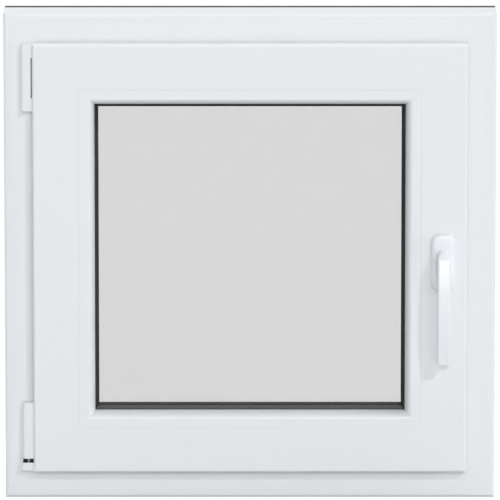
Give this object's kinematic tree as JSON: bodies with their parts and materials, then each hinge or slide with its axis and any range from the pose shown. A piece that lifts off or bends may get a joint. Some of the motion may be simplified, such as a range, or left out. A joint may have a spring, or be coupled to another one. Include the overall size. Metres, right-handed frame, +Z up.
{
  "type": "tilt and turn window",
  "caption": "White uPVC tilt and turn window with a double-glazed sash hinged on the left and a turning handle on the right.",
  "frame": {"origin": "middle of the sill's underside, halfway through the frame's depth", "axes": "+X to the right and +Y out through the wall, seen from the room; +Z up"},
  "size_m": [0.6, 0.146, 0.6],
  "materials": {
    "white_upvc": "extruded white uPVC inside, anthracite foil outside",
    "white_cover": "moulded white hinge cover",
    "white_handle": "white powder-coated aluminium",
    "zinc_steel": "zinc-plated steel",
    "black_bearing": "black moulded bearing",
    "black_gasket": "matt EPDM",
    "black_spacer": "warm-edge spacer with sealant",
    "float_glass": "clear float glass, low-e",
    "anthracite_cap": "moulded drain cap"
  },
  "bodies": {
    "window": {"frame_sill": "white_upvc", "frame_head": "white_upvc", "frame_jamb_left": "white_upvc", "frame_jamb_right": "white_upvc", "sash_bottom_rail": "white_upvc", "sash_top_rail": "white_upvc", "sash_stile_left": "white_upvc", "sash_stile_right": "white_upvc", "glazing_bead_bottom": "white_upvc", "glazing_bead_left": "white_upvc", "glazing_bead_top": "white_upvc", "glazing_bead_right": "white_upvc", "top_hinge_cover": "white_cover", "bottom_hinge_cover": "white_cover", "bottom_bearing_cap": "white_cover", "handle_rosette": "white_handle", "top_stay_bearing": "zinc_steel", "top_stay_arm": "zinc_steel", "top_hinge_pin": "zinc_steel", "bottom_corner_hinge": "zinc_steel", "bottom_hinge_pin": "zinc_steel", "bottom_pivot_bearing": "black_bearing", "glazing_gasket_inner": "black_gasket", "glazing_gasket_outer": "black_gasket", "sash_seal": "black_gasket", "frame_stop_seal": "black_gasket", "glass_spacer": "black_spacer", "glass_pane_inner": "float_glass", "glass_pane_outer": "float_glass", "drain_cap_left": "anthracite_cap", "drain_cap_right": "anthracite_cap"},
    "handle": {"handle_lever": "white_handle", "handle_spindle": "zinc_steel"}
  },
  "joints": [
    {"name": "handle_turn", "type": "hinge", "parent": "window", "child": "handle", "pos_m": [0.2355, -0.0565, 0.297], "axis": [0, 1, 0], "range_deg": [0, 180]}
  ]
}
